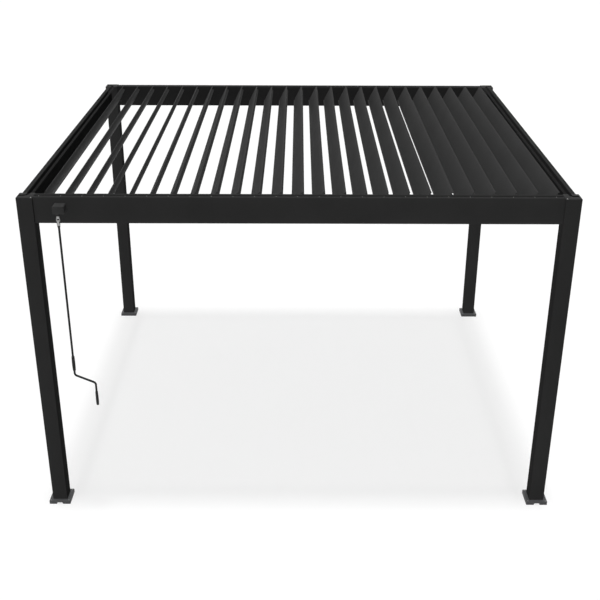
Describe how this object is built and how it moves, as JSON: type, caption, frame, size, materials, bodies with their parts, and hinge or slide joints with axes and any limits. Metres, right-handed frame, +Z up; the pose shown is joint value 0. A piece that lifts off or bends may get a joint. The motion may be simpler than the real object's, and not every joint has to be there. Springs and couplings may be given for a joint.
{
  "type": "louvred pergola",
  "caption": "Free-standing flat-roofed pergola with four square posts, gutter beams and tilting roof blades that a hanging crank turns together.",
  "frame": {"origin": "on the ground, at the centre of the bounding box seen from above", "axes": "+X to the right along the width, +Y to the back, +Z up"},
  "size_m": [4.054, 3.712, 2.6266],
  "materials": {
    "frame": "fine satin powder coat",
    "louvre": "fine satin powder coat",
    "foot": "fine satin powder coat",
    "cap": "satin moulding",
    "gearbox": "satin",
    "bar": "mill finish",
    "joint": "bright",
    "rod": "satin",
    "grip": "matt"
  },
  "bodies": {
    "frame": {"post_front_left": "frame", "post_front_right": "frame", "post_back_left": "frame", "post_back_right": "frame", "foot_front_left": "foot", "foot_front_right": "foot", "foot_back_left": "foot", "foot_back_right": "foot", "cap_front_left": "cap", "cap_front_right": "cap", "cap_back_left": "cap", "cap_back_right": "cap", "beam_front": "frame", "beam_back": "frame", "beam_left": "frame", "beam_right": "frame", "gearbox": "gearbox"},
    "louvre_01": {"louvre_01": "louvre"},
    "louvre_02": {"louvre_02": "louvre"},
    "louvre_03": {"louvre_03": "louvre"},
    "louvre_04": {"louvre_04": "louvre"},
    "louvre_05": {"louvre_05": "louvre"},
    "louvre_06": {"louvre_06": "louvre"},
    "louvre_07": {"louvre_07": "louvre"},
    "louvre_08": {"louvre_08": "louvre"},
    "louvre_09": {"louvre_09": "louvre"},
    "louvre_10": {"louvre_10": "louvre"},
    "louvre_11": {"louvre_11": "louvre"},
    "louvre_12": {"louvre_12": "louvre"},
    "louvre_13": {"louvre_13": "louvre"},
    "louvre_14": {"louvre_14": "louvre"},
    "louvre_15": {"louvre_15": "louvre"},
    "louvre_16": {"louvre_16": "louvre"},
    "louvre_17": {"louvre_17": "louvre"},
    "louvre_18": {"louvre_18": "louvre"},
    "louvre_19": {"louvre_19": "louvre"},
    "louvre_20": {"louvre_20": "louvre"},
    "louvre_21": {"louvre_21": "louvre"},
    "louvre_22": {"louvre_22": "louvre"},
    "louvre_23": {"louvre_23": "louvre"},
    "louvre_24": {"louvre_24": "louvre"},
    "louvre_25": {"louvre_25": "louvre"},
    "drive_bar": {"drive_bar": "bar"},
    "upper_yoke": {"upper_yoke": "joint"},
    "joint_cross": {"joint_cross": "joint"},
    "crank": {"crank_rod": "rod"},
    "upper_sleeve": {"upper_sleeve": "grip"},
    "lower_grip": {"lower_grip": "grip"}
  },
  "joints": [
    {"name": "louvre_01_tilt", "type": "hinge", "parent": "frame", "child": "louvre_01", "pos_m": [-1.8386, 0, 2.5481], "axis": [0, -1, 0], "range_deg": [-60, 60]},
    {"name": "louvre_02_tilt", "type": "hinge", "parent": "frame", "child": "louvre_02", "pos_m": [-1.6856, 0, 2.5481], "axis": [0, -1, 0], "range_deg": [-60, 60]},
    {"name": "louvre_03_tilt", "type": "hinge", "parent": "frame", "child": "louvre_03", "pos_m": [-1.5326, 0, 2.5481], "axis": [0, -1, 0], "range_deg": [-60, 60]},
    {"name": "louvre_04_tilt", "type": "hinge", "parent": "frame", "child": "louvre_04", "pos_m": [-1.3796, 0, 2.5481], "axis": [0, -1, 0], "range_deg": [-60, 60]},
    {"name": "louvre_05_tilt", "type": "hinge", "parent": "frame", "child": "louvre_05", "pos_m": [-1.2266, 0, 2.5481], "axis": [0, -1, 0], "range_deg": [-60, 60]},
    {"name": "louvre_06_tilt", "type": "hinge", "parent": "frame", "child": "louvre_06", "pos_m": [-1.0736, 0, 2.5481], "axis": [0, -1, 0], "range_deg": [-60, 60]},
    {"name": "louvre_07_tilt", "type": "hinge", "parent": "frame", "child": "louvre_07", "pos_m": [-0.9206, 0, 2.5481], "axis": [0, -1, 0], "range_deg": [-60, 60]},
    {"name": "louvre_08_tilt", "type": "hinge", "parent": "frame", "child": "louvre_08", "pos_m": [-0.7676, 0, 2.5481], "axis": [0, -1, 0], "range_deg": [-60, 60]},
    {"name": "louvre_09_tilt", "type": "hinge", "parent": "frame", "child": "louvre_09", "pos_m": [-0.6146, 0, 2.5481], "axis": [0, -1, 0], "range_deg": [-60, 60]},
    {"name": "louvre_10_tilt", "type": "hinge", "parent": "frame", "child": "louvre_10", "pos_m": [-0.4616, 0, 2.5481], "axis": [0, -1, 0], "range_deg": [-60, 60]},
    {"name": "louvre_11_tilt", "type": "hinge", "parent": "frame", "child": "louvre_11", "pos_m": [-0.3086, 0, 2.5481], "axis": [0, -1, 0], "range_deg": [-60, 60]},
    {"name": "louvre_12_tilt", "type": "hinge", "parent": "frame", "child": "louvre_12", "pos_m": [-0.1556, 0, 2.5481], "axis": [0, -1, 0], "range_deg": [-60, 60]},
    {"name": "louvre_13_tilt", "type": "hinge", "parent": "frame", "child": "louvre_13", "pos_m": [-0.0026, 0, 2.5481], "axis": [0, -1, 0], "range_deg": [-60, 60]},
    {"name": "louvre_14_tilt", "type": "hinge", "parent": "frame", "child": "louvre_14", "pos_m": [0.1504, 0, 2.5481], "axis": [0, -1, 0], "range_deg": [-60, 60]},
    {"name": "louvre_15_tilt", "type": "hinge", "parent": "frame", "child": "louvre_15", "pos_m": [0.3034, 0, 2.5481], "axis": [0, -1, 0], "range_deg": [-60, 60]},
    {"name": "louvre_16_tilt", "type": "hinge", "parent": "frame", "child": "louvre_16", "pos_m": [0.4564, 0, 2.5481], "axis": [0, -1, 0], "range_deg": [-60, 60]},
    {"name": "louvre_17_tilt", "type": "hinge", "parent": "frame", "child": "louvre_17", "pos_m": [0.6094, 0, 2.5481], "axis": [0, -1, 0], "range_deg": [-60, 60]},
    {"name": "louvre_18_tilt", "type": "hinge", "parent": "frame", "child": "louvre_18", "pos_m": [0.7624, 0, 2.5481], "axis": [0, -1, 0], "range_deg": [-60, 60]},
    {"name": "louvre_19_tilt", "type": "hinge", "parent": "frame", "child": "louvre_19", "pos_m": [0.9154, 0, 2.5481], "axis": [0, -1, 0], "range_deg": [-60, 60]},
    {"name": "louvre_20_tilt", "type": "hinge", "parent": "frame", "child": "louvre_20", "pos_m": [1.0684, 0, 2.5481], "axis": [0, -1, 0], "range_deg": [-60, 60]},
    {"name": "louvre_21_tilt", "type": "hinge", "parent": "frame", "child": "louvre_21", "pos_m": [1.2214, 0, 2.5481], "axis": [0, -1, 0], "range_deg": [-60, 60]},
    {"name": "louvre_22_tilt", "type": "hinge", "parent": "frame", "child": "louvre_22", "pos_m": [1.3744, 0, 2.5481], "axis": [0, -1, 0], "range_deg": [-60, 60]},
    {"name": "louvre_23_tilt", "type": "hinge", "parent": "frame", "child": "louvre_23", "pos_m": [1.5274, 0, 2.5481], "axis": [0, -1, 0], "range_deg": [-60, 60]},
    {"name": "louvre_24_tilt", "type": "hinge", "parent": "frame", "child": "louvre_24", "pos_m": [1.6804, 0, 2.5481], "axis": [0, -1, 0], "range_deg": [-60, 60]},
    {"name": "louvre_25_tilt", "type": "hinge", "parent": "frame", "child": "louvre_25", "pos_m": [1.8334, 0, 2.5481], "axis": [0, -1, 0], "range_deg": [-60, 60]},
    {"name": "drive_bar_swing", "type": "hinge", "parent": "louvre_02", "child": "drive_bar", "pos_m": [-1.6856, -1.6835, 2.4981], "axis": [0, -1, 0], "range_deg": [-60, 60]},
    {"name": "crank_turn", "type": "hinge", "parent": "frame", "child": "upper_yoke", "pos_m": [-1.7065, -1.831, 2.453], "axis": [0, 0, 1], "range_deg": [-720, 720]},
    {"name": "crank_pull", "type": "hinge", "parent": "upper_yoke", "child": "joint_cross", "pos_m": [-1.7065, -1.831, 2.453], "axis": [-1, 0, 0], "range_deg": [0, 40]},
    {"name": "crank_sway", "type": "hinge", "parent": "joint_cross", "child": "crank", "pos_m": [-1.7065, -1.831, 2.453], "axis": [0, -1, 0], "range_deg": [-30, 30]},
    {"name": "sleeve_spin", "type": "hinge", "parent": "crank", "child": "upper_sleeve", "pos_m": [-1.7065, -1.831, 1.363], "axis": [0, 0, 1], "continuous": true},
    {"name": "grip_spin", "type": "hinge", "parent": "crank", "child": "lower_grip", "pos_m": [-1.5535, -1.831, 1.057], "axis": [0, 0, 1], "continuous": true}
  ],
  "couplings": [
    {"joint": "louvre_01_tilt", "follows": "louvre_02_tilt", "ratio": 1},
    {"joint": "louvre_03_tilt", "follows": "louvre_02_tilt", "ratio": 1},
    {"joint": "louvre_04_tilt", "follows": "louvre_02_tilt", "ratio": 1},
    {"joint": "louvre_05_tilt", "follows": "louvre_02_tilt", "ratio": 1},
    {"joint": "louvre_06_tilt", "follows": "louvre_02_tilt", "ratio": 1},
    {"joint": "louvre_07_tilt", "follows": "louvre_02_tilt", "ratio": 1},
    {"joint": "louvre_08_tilt", "follows": "louvre_02_tilt", "ratio": 1},
    {"joint": "louvre_09_tilt", "follows": "louvre_02_tilt", "ratio": 1},
    {"joint": "louvre_10_tilt", "follows": "louvre_02_tilt", "ratio": 1},
    {"joint": "louvre_11_tilt", "follows": "louvre_02_tilt", "ratio": 1},
    {"joint": "louvre_12_tilt", "follows": "louvre_02_tilt", "ratio": 1},
    {"joint": "louvre_13_tilt", "follows": "louvre_02_tilt", "ratio": 1},
    {"joint": "louvre_14_tilt", "follows": "louvre_02_tilt", "ratio": 1},
    {"joint": "louvre_15_tilt", "follows": "louvre_02_tilt", "ratio": 1},
    {"joint": "louvre_16_tilt", "follows": "louvre_02_tilt", "ratio": 1},
    {"joint": "louvre_17_tilt", "follows": "louvre_02_tilt", "ratio": 1},
    {"joint": "louvre_18_tilt", "follows": "louvre_02_tilt", "ratio": 1},
    {"joint": "louvre_19_tilt", "follows": "louvre_02_tilt", "ratio": 1},
    {"joint": "louvre_20_tilt", "follows": "louvre_02_tilt", "ratio": 1},
    {"joint": "louvre_21_tilt", "follows": "louvre_02_tilt", "ratio": 1},
    {"joint": "louvre_22_tilt", "follows": "louvre_02_tilt", "ratio": 1},
    {"joint": "louvre_23_tilt", "follows": "louvre_02_tilt", "ratio": 1},
    {"joint": "louvre_24_tilt", "follows": "louvre_02_tilt", "ratio": 1},
    {"joint": "louvre_25_tilt", "follows": "louvre_02_tilt", "ratio": 1},
    {"joint": "drive_bar_swing", "follows": "louvre_02_tilt", "ratio": -1},
    {"joint": "crank_turn", "follows": "louvre_02_tilt", "ratio": 12}
  ]
}
